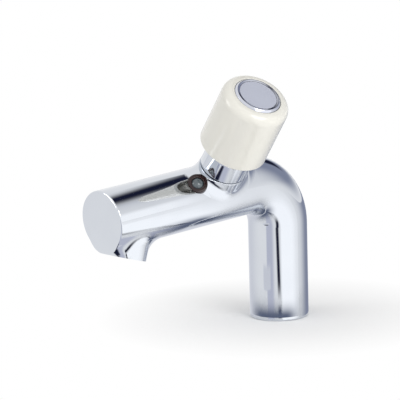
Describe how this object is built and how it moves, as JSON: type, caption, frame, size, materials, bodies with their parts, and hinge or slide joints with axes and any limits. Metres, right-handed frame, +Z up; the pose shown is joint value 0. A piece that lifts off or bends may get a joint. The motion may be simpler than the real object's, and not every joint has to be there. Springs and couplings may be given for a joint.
{
  "type": "basin tap",
  "caption": "Bent-tube chrome basin tap with a leaning ivory screw-down handle, a round index marker, a down-turned outlet with a flow straightener and a threaded tail.",
  "frame": {"origin": "centre of the column's foot, on the top of the deck", "axes": "+Z up along the column, -Y forward along the spout, +X to the user's right, where the handle leans"},
  "size_m": [0.074, 0.1407, 0.1878],
  "materials": {
    "chrome": "polished plating on brass",
    "ivory_plastic": "moulded, glossy",
    "dark_plastic": "moulded, glossy",
    "smoky_plastic": "polished dome",
    "brass": "machined",
    "steel": "stainless, plain",
    "rubber": "matt black",
    "white_plastic": "moulded"
  },
  "bodies": {
    "body": {"tap_body": "chrome", "inlet_tail": "brass", "tail_o_ring": "rubber", "base_gasket": "rubber", "deck_washer": "rubber", "clamp_washer": "steel", "lock_nut": "brass", "valve_seat": "steel", "packing_washer": "brass", "gland_packing": "rubber", "cap_nut": "chrome", "index_ring": "dark_plastic", "index_lens": "smoky_plastic", "outlet_seal": "rubber", "straightener_insert": "white_plastic", "outlet_screen": "steel", "straightener_housing": "chrome"},
    "jumper": {"jumper_valve": "brass", "jumper_washer": "rubber", "jumper_nut": "brass"},
    "handle": {"handle": "ivory_plastic", "handle_insert": "brass", "spring_washer": "steel", "handle_screw": "steel", "index_cap": "chrome", "spindle": "brass"}
  },
  "joints": [
    {"name": "valve_lift", "type": "slide", "parent": "body", "child": "jumper", "axis": [0.6088, -0.0484, 0.7919], "range_m": [0, 0.00376]},
    {"name": "handle_turn", "type": "hinge", "parent": "jumper", "child": "handle", "pos_m": [0, -0.04791, 0.07407], "axis": [0.6088, -0.0484, 0.7919], "range_deg": [0, 540]}
  ],
  "couplings": [
    {"joint": "valve_lift", "follows": "handle_turn", "m_per_rad": 0.00039789}
  ]
}
